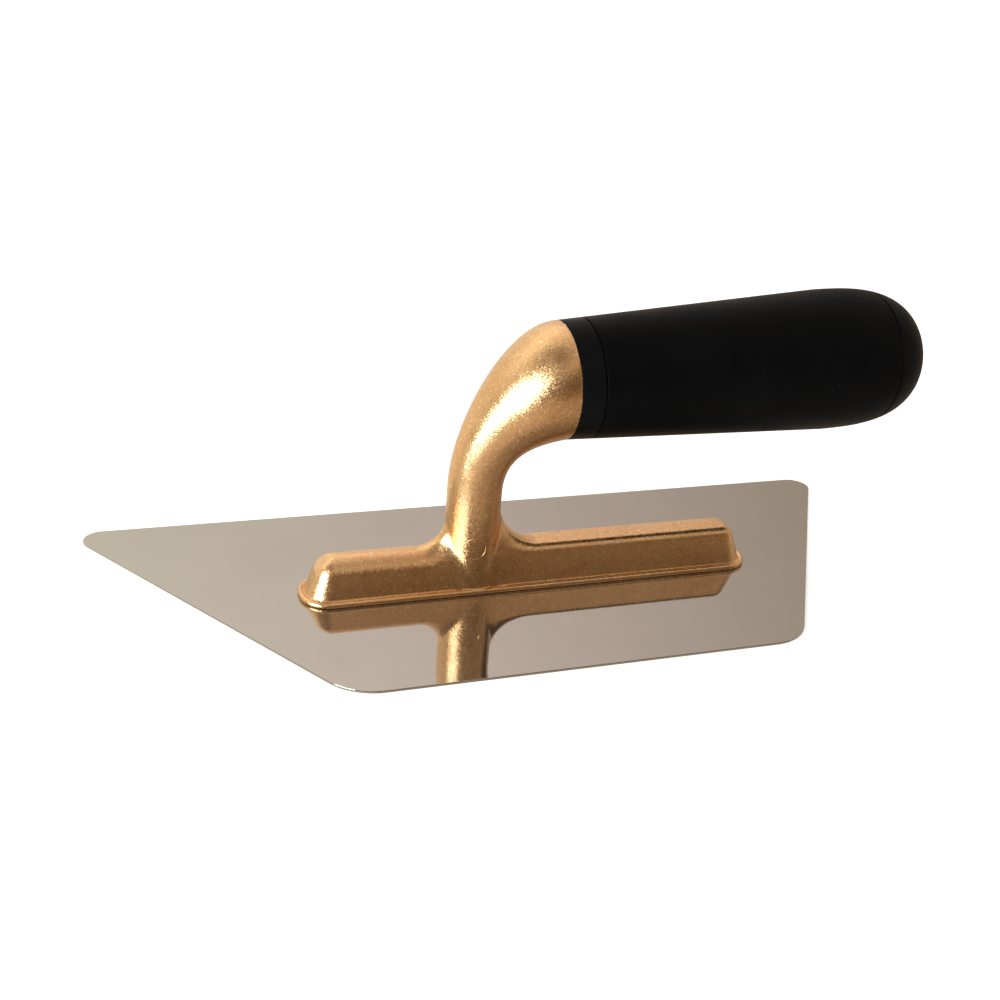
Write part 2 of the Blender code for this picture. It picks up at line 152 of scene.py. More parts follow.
# Skins: linear base colours, darker one first, and how far the casting's crystals tilt.
SPARKLE = 0.42
GOLD = ((0.76, 0.44, 0.20, 1), (0.83, 0.51, 0.26, 1))
GOLD_PIT = (0.50, 0.27, 0.11, 1)
# Painted highlight: a bright colour for small dots painted into the casting's colour as glints of
# light.
GOLD_PAINTED_GLINT = (1.0, 0.78, 0.52, 1)
STEEL_METALLIC = 0.96
STEEL = ((0.450, 0.420, 0.380, 1), (0.475, 0.442, 0.400, 1))
BLACK_SPECK = (0.03, 0.03, 0.029, 1)
FLOOR_WHITE = ((0.93, 0.93, 0.93, 1), (0.95, 0.95, 0.95, 1))

# Studio: directions are (azimuth, elevation) in degrees, seen from the object.
FLOOR_GLOW = 0.55
SOFTBOX_FROM = (-152, 15)
SOFTBOX_DISTANCE = 1.4
SOFTBOX_SIZE = (0.92, 0.85)
SOFTBOX_RADIANCE = 10.5
SOFTBOX_COLOUR = (0.80, 0.92, 1.0)
ROOM_BY_HEIGHT = [
    (0.47, (0.88, 0.79, 0.68, 1)),
    (0.53, (0.90, 0.84, 0.75, 1)),
    (0.68, (0.83, 0.77, 0.68, 1)),
    (0.85, (1.30, 1.24, 1.15, 1)),
    (1.00, (0.95, 0.90, 0.82, 1)),
]
TINT_TOWARDS = (-19, 0)
TINT = [
    (0.0, (1.12, 1.15, 1.10, 1)),
    (0.55, (0.95, 0.88, 0.90, 1)),
    (1.0, (0.62, 0.575, 0.53, 1)),
]
DARK_SIDE = (0.17, 0.12, 0.075, 1)
DARK_SIDE_FROM = (-111, 0)
DARK_BAND_HEIGHT = 0.20
DARK_CORNER_FROM = (-143, 58)
FLOOR_RADIUS = 30.0
FLOOR_STEPS = 96
FLOOR_DROP = 0.0001

# Casting's surface net.
FIELD_STEP = 0.0004
FIELD_MARGIN = 3 * FIELD_STEP
FIELD_OFFSET = 0.37 * FIELD_STEP
SLOPE_STEP = 0.00002
LEAST_SLOPE_SQUARED = 0.05
TINY = 1e-12
RELAX_ROUNDS = 3
PROJECT_ROUNDS = 2

BLADE_LOW, BLADE_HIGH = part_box("blade")
CASTING_LOW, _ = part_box("mounting_casting")
BLADE_TOP = BLADE_HIGH.z
BASE_X = CASTING_LOW.x + BASE_LENGTH / 2
ALONG = Vector((math.cos(GRIP_RAKE), 0.0, math.sin(GRIP_RAKE)))
ACROSS = Vector((-ALONG.z, 0.0, ALONG.x))
WASHER_LOW, WASHER_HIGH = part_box("tang_washer")
HEAD_FACE = (WASHER_LOW + WASHER_HIGH) / 2 - ALONG * WASHER_SETBACK


def add_piece(name, vertices, faces, material, sharp_angle=math.radians(40)):
    """A smooth-shaded mesh object that rides on the frame's one body."""
    mesh = bpy.data.meshes.new(name)
    mesh.from_pydata([tuple(point) for point in vertices], [], [tuple(face) for face in faces])
    tidy = bmesh.new()
    tidy.from_mesh(mesh)
    bmesh.ops.remove_doubles(tidy, verts=tidy.verts, dist=1e-7)
    bmesh.ops.recalc_face_normals(tidy, faces=tidy.faces)
    tidy.to_mesh(mesh)
    tidy.free()
    mesh.shade_smooth()
    mesh.set_sharp_from_angle(angle=sharp_angle)
    mesh.materials.append(material)
    piece = bpy.data.objects.new(name, mesh)
    bpy.context.scene.collection.objects.link(piece)
    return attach(piece, "root")


def arc(centre, radius, start, end, steps):
    """Points of an arc, both ends included, angles in radians."""
    angles = [start + (end - start) * step / steps for step in range(steps + 1)]
    return [(centre[0] + radius * math.cos(a), centre[1] + radius * math.sin(a)) for a in angles]


def quad(ring, next_ring, i, count):
    """The face between point i and the next one of two closed rings of points."""
    after = (i + 1) % count
    return ring * count + i, ring * count + after, next_ring * count + after, next_ring * count + i


# ---------------------------------------------------------------- materials


class Nodes:
    """Short calls for building a node tree."""

    def __init__(self, tree):
        self.tree = tree

    def feed(self, socket, value):
        """Link a socket to another one, or set its value."""
        if isinstance(value, bpy.types.NodeSocket):
            self.tree.links.new(value, socket)
        else:
            socket.default_value = value

    def add(self, kind, inputs=(), **settings):
        node = self.tree.nodes.new(kind)
        for name, value in settings.items():
            setattr(node, name, value)
        for key, value in dict(inputs).items():
            self.feed(node.inputs[key], value)
        return node

    def noise(self, place, scale, detail=2.0, roughness=0.5, distortion=0.0):
        inputs = {"Vector": place, "Scale": scale, "Detail": detail, "Roughness": roughness}
        return self.add("ShaderNodeTexNoise", {**inputs, "Distortion": distortion}).outputs["Fac"]

    def spread(self, value, low, high, to_low=0.0, to_high=1.0):
        inputs = {"Value": value, "From Min": low, "From Max": high}
        inputs.update({"To Min": to_low, "To Max": to_high})
        return self.add("ShaderNodeMapRange", inputs).outputs["Result"]

    def blend(self, share, first, second):
        node = self.add("ShaderNodeMix", data_type="RGBA")
        for place, value in ((0, share), (6, first), (7, second)):
            self.feed(node.inputs[place], value)
        return node.outputs[2]

    def maths(self, operation, first, second=0.0):
        node = self.add("ShaderNodeMath", operation=operation)
        for socket, value in zip(node.inputs, (first, second)):
            self.feed(socket, value)
        return node.outputs[0]

    def vector(self, operation, first, second):
        node = self.add("ShaderNodeVectorMath", operation=operation)
        for socket, value in zip(node.inputs, (first, second)):
            self.feed(socket, value)
        return node.outputs[0]

    def dot(self, direction, axis):
        node = self.add("ShaderNodeVectorMath", {0: direction, 1: axis}, operation="DOT_PRODUCT")
        return node.outputs["Value"]

    def ramp(self, value, stops):
        node = self.add("ShaderNodeValToRGB", {"Fac": value})
        while len(node.color_ramp.elements) < len(stops):
            node.color_ramp.elements.new(0.5)
        for element, (position, colour) in zip(node.color_ramp.elements, stops):
            element.position = position
            element.color = colour
        return node.outputs["Color"]

    def stretched(self, place, scale):
        return self.add("ShaderNodeMapping", {"Vector": place, "Scale": scale}).outputs["Vector"]

    def bump(self, height, strength, distance, normal=None):
        inputs = {"Height": height, "Strength": strength, "Distance": distance}
        if normal:
            inputs["Normal"] = normal
        return self.add("ShaderNodeBump", inputs).outputs["Normal"]


def new_material(name, metallic, **constants):
    """A material, its shader, its node helper and the piece's own coordinates."""
    material = bpy.data.materials.new(name)
    material.use_nodes = True
    shader = material.node_tree.nodes["Principled BSDF"]
    shader.inputs["Metallic"].default_value = metallic
    for socket, value in constants.items():
        shader.inputs[socket.replace("_", " ")].default_value = value
    nodes = Nodes(material.node_tree)
    place = nodes.add("ShaderNodeTexCoord").outputs["Object"]
    return material, shader, nodes, place


def connect(nodes, shader, **sockets):
    for name, value in sockets.items():
        nodes.tree.links.new(value, shader.inputs[name.replace("_", " ")])


def champagne_casting():
    """Satin champagne-gold metal whose blasted skin sparkles, partly through tilted crystals and
    partly through bright glints painted into its colour.
    """
    material, shader, nodes, place = new_material("champagne_casting", 1.0)
    cloud = nodes.noise(place, 45.0, detail=3.0)
    colour = nodes.blend(nodes.spread(cloud, 0.35, 0.65), *GOLD)
    pits = nodes.noise(place, 700.0, detail=3.0, roughness=0.6)
    colour = nodes.blend(nodes.spread(pits, 0.45, 0.75, 0.0, 0.35), colour, GOLD_PIT)
    # Painted highlights: sparse bright dots painted into the colour as glints of light.
    painted_glints = nodes.spread(nodes.noise(place, 1500.0, detail=1.0), 0.62, 0.70, 0.0, 0.75)
    colour = nodes.blend(painted_glints, colour, GOLD_PAINTED_GLINT)
    rough = nodes.spread(nodes.noise(place, 420.0, detail=4.0), 0.3, 0.7, 0.25, 0.33)
    crystals = nodes.add("ShaderNodeTexNoise", {"Vector": place, "Scale": 2500.0, "Detail": 1.0})
    tilt = nodes.vector("SUBTRACT", crystals.outputs["Color"], (0.5, 0.5, 0.5))
    tilt = nodes.vector("MULTIPLY", tilt, (SPARKLE, SPARKLE, SPARKLE))
    normal = nodes.add("ShaderNodeNewGeometry").outputs["Normal"]
    normal = nodes.vector("NORMALIZE", nodes.vector("ADD", normal, tilt), (0, 0, 0))
    ripple = nodes.bump(nodes.noise(place, 110.0, detail=2.0), 0.10, 0.0006, normal)
    connect(nodes, shader, Base_Color=colour, Roughness=rough, Normal=ripple)
    return material


def polished_steel():
    """Mirror-polished stainless sheet with the faint trace of its polishing and of hands."""
    material, shader, nodes, place = new_material("polished_steel", STEEL_METALLIC)
    across = nodes.stretched(place, (30.0, 2600.0, 30.0))
    lines = nodes.noise(across, 1.0, detail=3.0, roughness=0.7)
    haze = nodes.noise(place, 38.0, detail=4.0, roughness=0.6)
    tone = nodes.blend(nodes.spread(haze, 0.3, 0.7), *STEEL)
    line_rough = nodes.spread(lines, 0.45, 0.8, 0.0, 0.02)
    rough = nodes.maths("ADD", line_rough, nodes.spread(haze, 0.35, 0.75, 0.035, 0.06))
    normal = nodes.bump(lines, 0.02, 0.00001)
    connect(nodes, shader, Base_Color=tone, Roughness=rough, Normal=normal)
    return material


def black_moulding(name, colour, roughness, grain_scale, grain_depth):
    """Black polymer with a fine spark-eroded skin, rubbed a little smoother in places."""
    material, shader, nodes, place = new_material(name, 0.0, IOR=1.33, Specular_IOR_Level=0.08)
    rub = nodes.noise(place, 60.0, detail=4.0, roughness=0.6)
    rubbed = [1.5 * part for part in colour]
    tone = nodes.blend(nodes.spread(rub, 0.4, 0.7), (*colour, 1), (*rubbed, 1))
    speck = nodes.spread(nodes.noise(place, 700.0, detail=1.0), 0.78, 0.84)
    tone = nodes.blend(nodes.maths("MULTIPLY", speck, 0.35), tone, BLACK_SPECK)
    rough = nodes.spread(rub, 0.3, 0.7, roughness - 0.06, roughness + 0.05)
    grain = nodes.noise(place, grain_scale, detail=3.0, roughness=0.6)
    normal = nodes.bump(grain, 0.25, grain_depth)
    connect(nodes, shader, Base_Color=tone, Roughness=rough, Normal=normal)
    return material


def plated_steel(name, colour, roughness):
    """Bright fastener steel with turning marks and slightly cloudy plating."""
    material, shader, nodes, place = new_material(name, 1.0)
    cloud = nodes.noise(place, 500.0, detail=3.0)
    darker = tuple(0.8 * part for part in colour)
    tone = nodes.blend(nodes.spread(cloud, 0.3, 0.7), (*darker, 1), (*colour, 1))
    rough = nodes.spread(cloud, 0.3, 0.7, roughness - 0.06, roughness + 0.10)
    turned = nodes.noise(nodes.stretched(place, (200.0, 200.0, 6000.0)), 1.0, detail=2.0)
    normal = nodes.bump(turned, 0.15, 0.00003)
    connect(nodes, shader, Base_Color=tone, Roughness=rough, Normal=normal)
    return material


def pale_floor():
    """White sheet that glows a little, so that it stays pale far from the lamp. From below it
    is see-through, so that the object's underside can be looked at."""
    constants = {"Roughness": 0.9, "Specular_IOR_Level": 0.1}
    material, shader, nodes, place = new_material("pale_floor", 0.0, **constants)
    tone = nodes.blend(nodes.noise(place, 3.0, detail=2.0), *FLOOR_WHITE)
    from_below = nodes.add("ShaderNodeNewGeometry").outputs["Backfacing"]
    from_above = nodes.maths("SUBTRACT", 1.0, from_below)
    connect(nodes, shader, Base_Color=tone, Emission_Color=tone, Alpha=from_above)
    shader.inputs["Emission Strength"].default_value = FLOOR_GLOW
    return material


# ---------------------------------------------------------------- blade


def blade_outline():
    """The blade's outline, anticlockwise, set in from the box so that its tips span it."""
    length = BLADE_HIGH.x - BLADE_LOW.x
    side = BLADE_HIGH.y
    run_out = 2 * side / math.tan(BLADE_END_ANGLE)
    long_half = length / 2 + TIP_RADIUS / math.tan(BLADE_END_ANGLE / 2) - TIP_RADIUS
    heel = (long_half - run_out, -side)
    tip = (long_half, side)
    outline = []
    half_tangent = math.tan(BLADE_END_ANGLE / 2)
    tip_start = BLADE_END_ANGLE - math.pi / 2
    corners = (
        (heel, HEEL_RADIUS, HEEL_RADIUS * half_tangent, -math.pi / 2, BLADE_END_ANGLE),
        (tip, TIP_RADIUS, TIP_RADIUS / half_tangent, tip_start, math.pi - BLADE_END_ANGLE),
    )
    for corner, radius, inset, start, turn in corners:
        centre = (corner[0] - inset, corner[1] - math.copysign(radius, corner[1]))
        outline += arc(centre, radius, start, start + turn, CORNER_STEPS)
    mirrored = [(-x, y) for x, y in reversed(outline)]
    return outline + mirrored


def inset_outline(outline, distance):
    """The outline moved inwards by a small distance, point by point."""
    points = np.array(outline)
    edges = np.roll(points, -1, 0) - np.roll(points, 1, 0)
    inwards = np.stack([-edges[:, 1], edges[:, 0]], 1)
    inwards /= np.linalg.norm(inwards, axis=1)[:, None]
    return points + inwards * distance


def add_blade():
    outline = blade_outline()
    bottom = BLADE_LOW.z
    rounding = BLADE_EDGE_BREAK * BREAK_ROUNDING
    rings = [
        (BLADE_EDGE_BREAK, bottom),
        (rounding, bottom + rounding),
        (0.0, bottom + BLADE_EDGE_BREAK),
        (0.0, BLADE_TOP - BLADE_EDGE_BREAK),
        (rounding, BLADE_TOP - rounding),
        (BLADE_EDGE_BREAK, BLADE_TOP),
    ]
    vertices = [(x, y, z) for inset, z in rings for x, y in inset_outline(outline, inset)]
    count = len(outline)
    faces = [quad(ring, ring + 1, i, count) for ring in range(len(rings) - 1) for i in range(count)]
    faces.append(tuple(reversed(range(count))))
    faces.append(tuple(range((len(rings) - 1) * count, len(rings) * count)))
    blade = add_piece("polished_blade", vertices, faces, polished_steel(), math.radians(20))
    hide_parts("blade")


# ---------------------------------------------------------------- casting


def rounded_rectangle(x, y, half_length, half_width, radius):
    """Distance to a rectangle with rounded corners."""
    over_x = np.abs(x) - (half_length - radius)
    over_y = np.abs(y) - (half_width - radius)
    outside = np.hypot(np.maximum(over_x, 0), np.maximum(over_y, 0))
    return outside + np.minimum(np.maximum(over_x, over_y), 0) - radius


def both(a, b, radius):
    """The overlap of two shapes, its edge rounded."""
    corner = np.hypot(np.maximum(a + radius, 0), np.maximum(b + radius, 0))
    return np.minimum(np.maximum(a, b), -radius) + corner


def either(a, b, radius):
    """Two shapes joined by a hollow fillet."""
    hollow = np.hypot(np.maximum(radius - a, 0), np.maximum(radius - b, 0))
    return np.maximum(np.minimum(a, b), radius) - hollow


def bezier(controls, t):
    start, low, high, end = controls
    rest = 1 - t
    return rest**3 * start + 3 * rest**2 * t * low + 3 * rest * t**2 * high + t**3 * end


def neck_edge(side, shape):
    """The neck's back (side 1) or throat (side -1) as (x, z) points, straight foot first."""
    outwards = ACROSS * side
    start = np.array((NECK_X - side * NECK_RADIUS, shape["start"]))
    end = HEAD_FACE + outwards * GRIP_FRONT_RADIUS
    direction = ALONG * math.cos(shape["arrival"]) + outwards * math.sin(shape["arrival"])
    high = end - direction * shape["upper"]
    low = start + np.array((0, shape["lower"]))
    controls = (start, low, np.array((high.x, high.z)), np.array((end.x, end.z)))
    lowest = (start[0], NECK_FOOT_DEPTH)
    foot = np.linspace(lowest, start, NECK_SAMPLES // 4, endpoint=False)
    curve = bezier(controls, np.linspace(0, 1, NECK_SAMPLES)[:, None])
    beyond = curve[-1] + np.outer(np.linspace(*NECK_RUN_ON), (ALONG.x, ALONG.z))
    return np.concatenate([foot, curve, beyond])


class Neck:
    """The gooseneck's field. Its sections are circles whose diameters join back and throat."""

    def __init__(self):
        back, throat = neck_edge(1, BACK), neck_edge(-1, THROAT)
        self.centre = (back + throat) / 2
        self.half = (back - throat) / 2

    def section(self, x, z):
        """Where points of the middle plane lie on their section: along its diameter from the
        centre, off the diameter, and the section's radius."""
        radius = np.linalg.norm(self.half, axis=1)
        unit = self.half / radius[:, None]
        aside, offset, reach = [np.empty(x.size) for _ in range(3)]
        for first in range(0, x.size, NECK_BATCH):
            some = slice(first, first + NECK_BATCH)
            x_gap = x[some, None] - self.centre[:, 0]
            z_gap = z[some, None] - self.centre[:, 1]
            from_centre = np.stack([x_gap, z_gap], -1)
            on_line = (from_centre * unit).sum(-1)
            off_line = from_centre[..., 0] * unit[:, 1] - from_centre[..., 1] * unit[:, 0]
            near = np.hypot(off_line, np.maximum(np.abs(on_line) - radius, 0))
            best = near.argmin(1)
            rows = np.arange(best.size)
            share = best.astype(float)
            here = off_line[rows, best]
            for step in (1, -1):
                other = np.clip(best + step, 0, radius.size - 1)
                there = off_line[rows, other]
                crosses = (here * there < 0) & (other != best)
                between = step * here / np.where(crosses, here - there, 1)
                share[crosses] = (best + between)[crosses]
            lower = np.clip(np.floor(share).astype(int), 0, radius.size - 2)
            part = (share - lower)[:, None]
            centre = self.centre[lower] * (1 - part) + self.centre[lower + 1] * part
            half = self.half[lower] * (1 - part) + self.half[lower + 1] * part
            size = np.linalg.norm(half, axis=1)
            gap = np.stack([x[some], z[some]], 1) - centre
            aside[some] = (gap * half).sum(1) / size
            offset[some] = (gap[:, 0] * half[:, 1] - gap[:, 1] * half[:, 0]) / size
            reach[some] = size
        return aside, offset, reach


def casting_field(x, y, z, section):
    """Signed distance to the casting's skin. section is what Neck.section says of x and z."""
    aside, offset, reach = section
    floor = BLADE_TOP + CONTACT_GAP
    flange_top = BLADE_TOP + FLANGE_TOP
    plan = rounded_rectangle(x - BASE_X, y, BASE_LENGTH / 2, FLANGE_HALF_WIDTH, FLANGE_CORNER_RADIUS)
    slab = np.abs(z - (floor + flange_top) / 2) - (flange_top - floor) / 2
    flange = both(plan, slab, FLANGE_EDGE_RADIUS)
    bead_height = z - BLADE_TOP - FLANGE_BEAD_RADIUS
    bead = np.hypot(plan + FLANGE_BEAD_RADIUS, bead_height) - FLANGE_BEAD_RADIUS
    flange = either(flange, bead, FLANGE_BEAD_FILLET)
    share = (z - flange_top) / (BLADE_TOP + BODY_TOP - flange_top)
    body_plan = rounded_rectangle(
        x - BASE_X,
        y,
        BASE_LENGTH / 2 - FLANGE_LEDGE - BODY_END_DRAFT * share,
        BODY_HALF_WIDTH - BODY_SIDE_DRAFT * share,
        BODY_CORNER_RADIUS - BODY_CORNER_DRAFT * np.clip(share, 0, 1),
    )
    rearward = np.clip((x - NECK_X) / (2 * NECK_RADIUS) + 0.5, 0, 1)
    edge_change = BODY_REAR_EDGE_RADIUS - BODY_FRONT_EDGE_RADIUS
    edge_radius = BODY_FRONT_EDGE_RADIUS + edge_change * rearward
    body = both(body_plan, z - BLADE_TOP - BODY_TOP, edge_radius)
    flare = NECK_FOOT_FLARE * np.clip(1 - z / NECK_FLARE_TOP, 0, 1)
    neck = np.hypot(np.hypot(aside, y), offset) - reach - flare
    beyond = (x - HEAD_FACE.x) * ALONG.x + (z - HEAD_FACE.z) * ALONG.z
    neck = both(neck, beyond, HEAD_EDGE_RADIUS)
    from_axis = x - NECK_X
    facing = from_axis**2 / (from_axis**2 + y**2 + TINY)
    end_fillet = np.where(from_axis < 0, FRONT_FILLET, REAR_FILLET)
    fillet = SIDE_FILLET + (end_fillet - SIDE_FILLET) * facing**3
    bracket = either(body, neck, fillet)
    whole = either(bracket, flange, FOOT_FILLET)
    return np.maximum(whole, floor - z)


def surface_net(field, low, step):
    """Vertices and quads of the surface where a grid's values pass zero."""
    cells = tuple(size - 1 for size in field.shape)
    total = np.zeros((*cells, 3), np.float32)
    count = np.zeros(cells, np.float32)
    inside = field < 0
    for axis in range(3):
        others = [other for other in range(3) if other != axis]
        for corner in ((0, 0), (0, 1), (1, 0), (1, 1)):
            offset = [0, 0, 0]
            offset[others[0]], offset[others[1]] = corner
            start = tuple(slice(o, o + size) for o, size in zip(offset, cells))
            offset[axis] = 1
            end = tuple(slice(o, o + size) for o, size in zip(offset, cells))
            found = np.nonzero(inside[start] != inside[end])
            a, b = field[start][found], field[end][found]
            offset[axis] = 0
            for part in range(3):
                along = a / (a - b) if part == axis else offset[part]
                total[(*found, np.full(found[0].size, part))] += along
            count[found] += 1
    filled = np.nonzero(count)
    index = np.full(cells, -1, np.int64)
    index[filled] = np.arange(filled[0].size)
    within = total[filled] / count[filled][:, None]
    vertices = np.array(low) + step * (np.stack(filled, 1) + within)
    quads = []
    for axis in range(3):
        after = [slice(1, size) for size in cells]
        after[axis] = slice(0, cells[axis])
        further = list(after)
        further[axis] = slice(1, cells[axis] + 1)
        for leaving in (True, False):
            near, far = inside[tuple(after)], inside[tuple(further)]
            found = np.nonzero(near & ~far if leaving else ~near & far)
            place = [part + (part_axis != axis) for part_axis, part in enumerate(found)]
            first, second = [other for other in range(3) if other != axis]
            ring = []
            for back_first, back_second in ((0, 0), (1, 0), (1, 1), (0, 1)):
                cell = list(place)
                cell[first] = cell[first] - back_first
                cell[second] = cell[second] - back_second
                ring.append(index[tuple(cell)])
            quads.append(np.stack(ring if leaving == (axis != 1) else ring[::-1], 1))
    return vertices, np.concatenate(quads)


def field_slope(vertices, neck):
    """The field's value and slope at loose points."""
    x, y, z = vertices.T
    section = neck.section(x, z)
    here = casting_field(x, y, z, section)
    further = (
        casting_field(x + SLOPE_STEP, y, z, neck.section(x + SLOPE_STEP, z)),
        casting_field(x, y + SLOPE_STEP, z, section),
        casting_field(x, y, z + SLOPE_STEP, neck.section(x, z + SLOPE_STEP)),
    )
    return here, np.stack([(value - here) / SLOPE_STEP for value in further], 1)


def onto_surface(vertices, neck):
    """Each vertex moved to where the field is zero, by one grid step at most."""
    value, slope = field_slope(vertices, neck)
    move = -(value / np.maximum((slope**2).sum(1), LEAST_SLOPE_SQUARED))[:, None] * slope
    length = np.linalg.norm(move, axis=1)[:, None]
    return vertices + move * np.minimum(1, FIELD_STEP / np.maximum(length, TINY))


def relaxed(vertices, quads):
    """Each vertex drawn half way to the middle of its neighbours."""
    total = np.zeros_like(vertices)
    count = np.zeros(len(vertices))
    for a, b in ((0, 1), (1, 2), (2, 3), (3, 0)):
        for start, end in ((a, b), (b, a)):
            np.add.at(total, quads[:, start], vertices[quads[:, end]])
            np.add.at(count, quads[:, start], 1)
    return (vertices + total / count[:, None]) / 2


def casting_grid():
    """The grid's x, y and z values, shifted so that no flat face falls on a grid plane."""
    half_width = max(GRIP_FRONT_RADIUS, FLANGE_HALF_WIDTH)
    top = (HEAD_FACE + ACROSS * GRIP_FRONT_RADIUS).z
    low = np.array((CASTING_LOW.x, -half_width, BLADE_TOP)) - FIELD_MARGIN
    high = np.array((BASE_X + BASE_LENGTH / 2, half_width, top)) + FIELD_MARGIN
    return [np.arange(start + FIELD_OFFSET, end, FIELD_STEP) for start, end in zip(low, high)]


def casting_skin(neck):
    """The casting's outside as one closed surface of quads."""
    axes = casting_grid()
    plane_x, plane_z = np.meshgrid(axes[0], axes[2], indexing="ij")
    section = neck.section(plane_x.ravel(), plane_z.ravel())
    section = [part.reshape(plane_x.shape)[:, None, :] for part in section]
    x, y, z = axes[0][:, None, None], axes[1][None, :, None], axes[2][None, None, :]
    field = np.broadcast_to(casting_field(x, y, z, section), [axis.size for axis in axes])
    start = [axis[0] for axis in axes]
    vertices, quads = surface_net(field.astype(np.float32), start, FIELD_STEP)
    for _ in range(RELAX_ROUNDS):
        vertices = relaxed(vertices, quads)
        vertices = onto_surface(vertices, neck)
    for _ in range(PROJECT_ROUNDS):
        vertices = onto_surface(vertices, neck)
    return vertices, quads


def tang_rod():
    """The cross-shaped tang as a closed prism that starts inside the head."""
    reach, half = TANG_REACH, TANG_ARM_THICKNESS / 2
    quarter = [(reach, -half), (reach, half), (half, half)]
    outline = []
    for turn in range(4):
        c, s = ((1, 0), (0, 1), (-1, 0), (0, -1))[turn]
        outline += [(c * a - s * b, s * a + c * b) for a, b in quarter]
    side = Vector((0, 1, 0))
    vertices = [
        HEAD_FACE + ALONG * along + ACROSS * a + side * b
        for along in (-TANG_ROOT, TANG_LENGTH)
        for a, b in outline
    ]
    count = len(outline)
    faces = [quad(0, 1, i, count) for i in range(count)]
    faces += [tuple(reversed(range(count))), tuple(range(count, 2 * count))]
    return np.array([tuple(point) for point in vertices]), faces


def pin_mark(neck, turns=96, sides=8):
    """A thin raised circle that follows the skin."""
    angle = np.linspace(0, 2 * np.pi, turns, endpoint=False)
    x = PIN_MARK_X + PIN_MARK_RADIUS * np.cos(angle)
    z = PIN_MARK_Z + PIN_MARK_RADIUS * np.sin(angle)
    y = np.full(turns, PIN_MARK_START)
    section = neck.section(x, z)
    for _ in range(PIN_MARK_ROUNDS):
        y = y + casting_field(x, y, z, section)
    middle = np.stack([x, y, z], 1)
    _, slope = field_slope(middle, neck)
    normal = slope / np.linalg.norm(slope, axis=1)[:, None]
    forward = np.roll(middle, -1, 0) - np.roll(middle, 1, 0)
    sideways = np.cross(forward / np.linalg.norm(forward, axis=1)[:, None], normal)
    round_it = np.linspace(0, 2 * np.pi, sides, endpoint=False)
    outwards = np.sin(round_it)[None, :, None] * normal[:, None]
    aside = np.cos(round_it)[None, :, None] * sideways[:, None]
    tube = middle[:, None] + PIN_MARK_RIB * (outwards + aside)
    faces = [quad(i, (i + 1) % turns, j, sides) for i in range(turns) for j in range(sides)]
    return tube.reshape(-1, 3), faces


def add_casting():
    """One piece of three closed shells that overlap: the skin, the tang and the pin mark."""
    neck = Neck()
    gold = champagne_casting()
    vertices, faces = casting_skin(neck)
    parts = [(vertices, [tuple(face) for face in faces]), tang_rod(), pin_mark(neck)]
    points, all_faces = [], []
    for part_points, part_faces in parts:
        start = sum(len(some) for some in points)
        points.append(part_points)
        all_faces += [tuple(int(corner) + start for corner in face) for face in part_faces]
    casting = add_piece("cast_mounting", np.concatenate(points), all_faces, gold, math.radians(60))
    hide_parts("mounting_casting")


# ---------------------------------------------------------------- grip


def grip_radius(distance):
    """The grip's radius at a distance behind the head: a cone, then a dome."""
    shoulder = GRIP_LENGTH - DOME_LENGTH
    if distance <= shoulder:
        growth = GRIP_GREATEST_RADIUS - GRIP_FRONT_RADIUS
        return GRIP_FRONT_RADIUS + growth * distance / shoulder
    share = min((distance - shoulder) / DOME_LENGTH, 1)
    return GRIP_GREATEST_RADIUS * (1 - share**DOME_POWER) ** (1 / DOME_POWER)


def rolled_lip(edge, inwards):
    """A small lip, from the end face at the edge to just short of the grip's outline."""
    top = grip_radius(edge + inwards * LIP_RADIUS)
    points = []
    for angle in np.linspace(0, math.pi / 2, LIP_STEPS + 1)[:-1]:
        along = edge + inwards * LIP_RADIUS * (1 - math.cos(angle))
        points.append((along, top - LIP_RADIUS * (1 - math.sin(angle))))
    return points


def skin_profile(start, end, steps):
    """The grip's outline between two distances, each end rolled over a small lip."""
    between = np.linspace(start + LIP_RADIUS, end - LIP_RADIUS, steps)
    middle = [(s, grip_radius(s)) for s in between]
    return rolled_lip(start, 1) + middle + rolled_lip(end, -1)[::-1]


def signed_turn(angle):
    """An angle brought to between minus and plus half a turn."""
    return np.angle(np.exp(1j * angle))


def turn_angles():
    """Angles of a turn, with extra ones where the two parting lines stand."""
    close = np.array(PARTING_PLACES) * PARTING_WIDTH / GRIP_GREATEST_RADIUS
    seams = [PARTING_TILT - math.pi / 2 + turn + close for turn in (0, math.pi)]
    seams = np.mod(np.concatenate(seams), 2 * math.pi)
    even = np.linspace(0, 2 * math.pi, TURN_STEPS, endpoint=False)
    least = math.pi / TURN_STEPS / 2
    clear = [angle for angle in even if np.abs(signed_turn(seams - angle)).min() > least]
    return np.sort(np.concatenate([seams, clear]))


def parting_ridge(angles):
    """Height of the parting lines at each angle, measured from the top of the grip."""
    height = np.zeros(angles.size)
    for turn in (0, math.pi):
        seam = PARTING_TILT - math.pi / 2 + turn
        off = signed_turn(angles - seam) * GRIP_GREATEST_RADIUS
        height += PARTING_HEIGHT * np.clip(1 - np.abs(off) / PARTING_WIDTH, 0, 1)
    return height


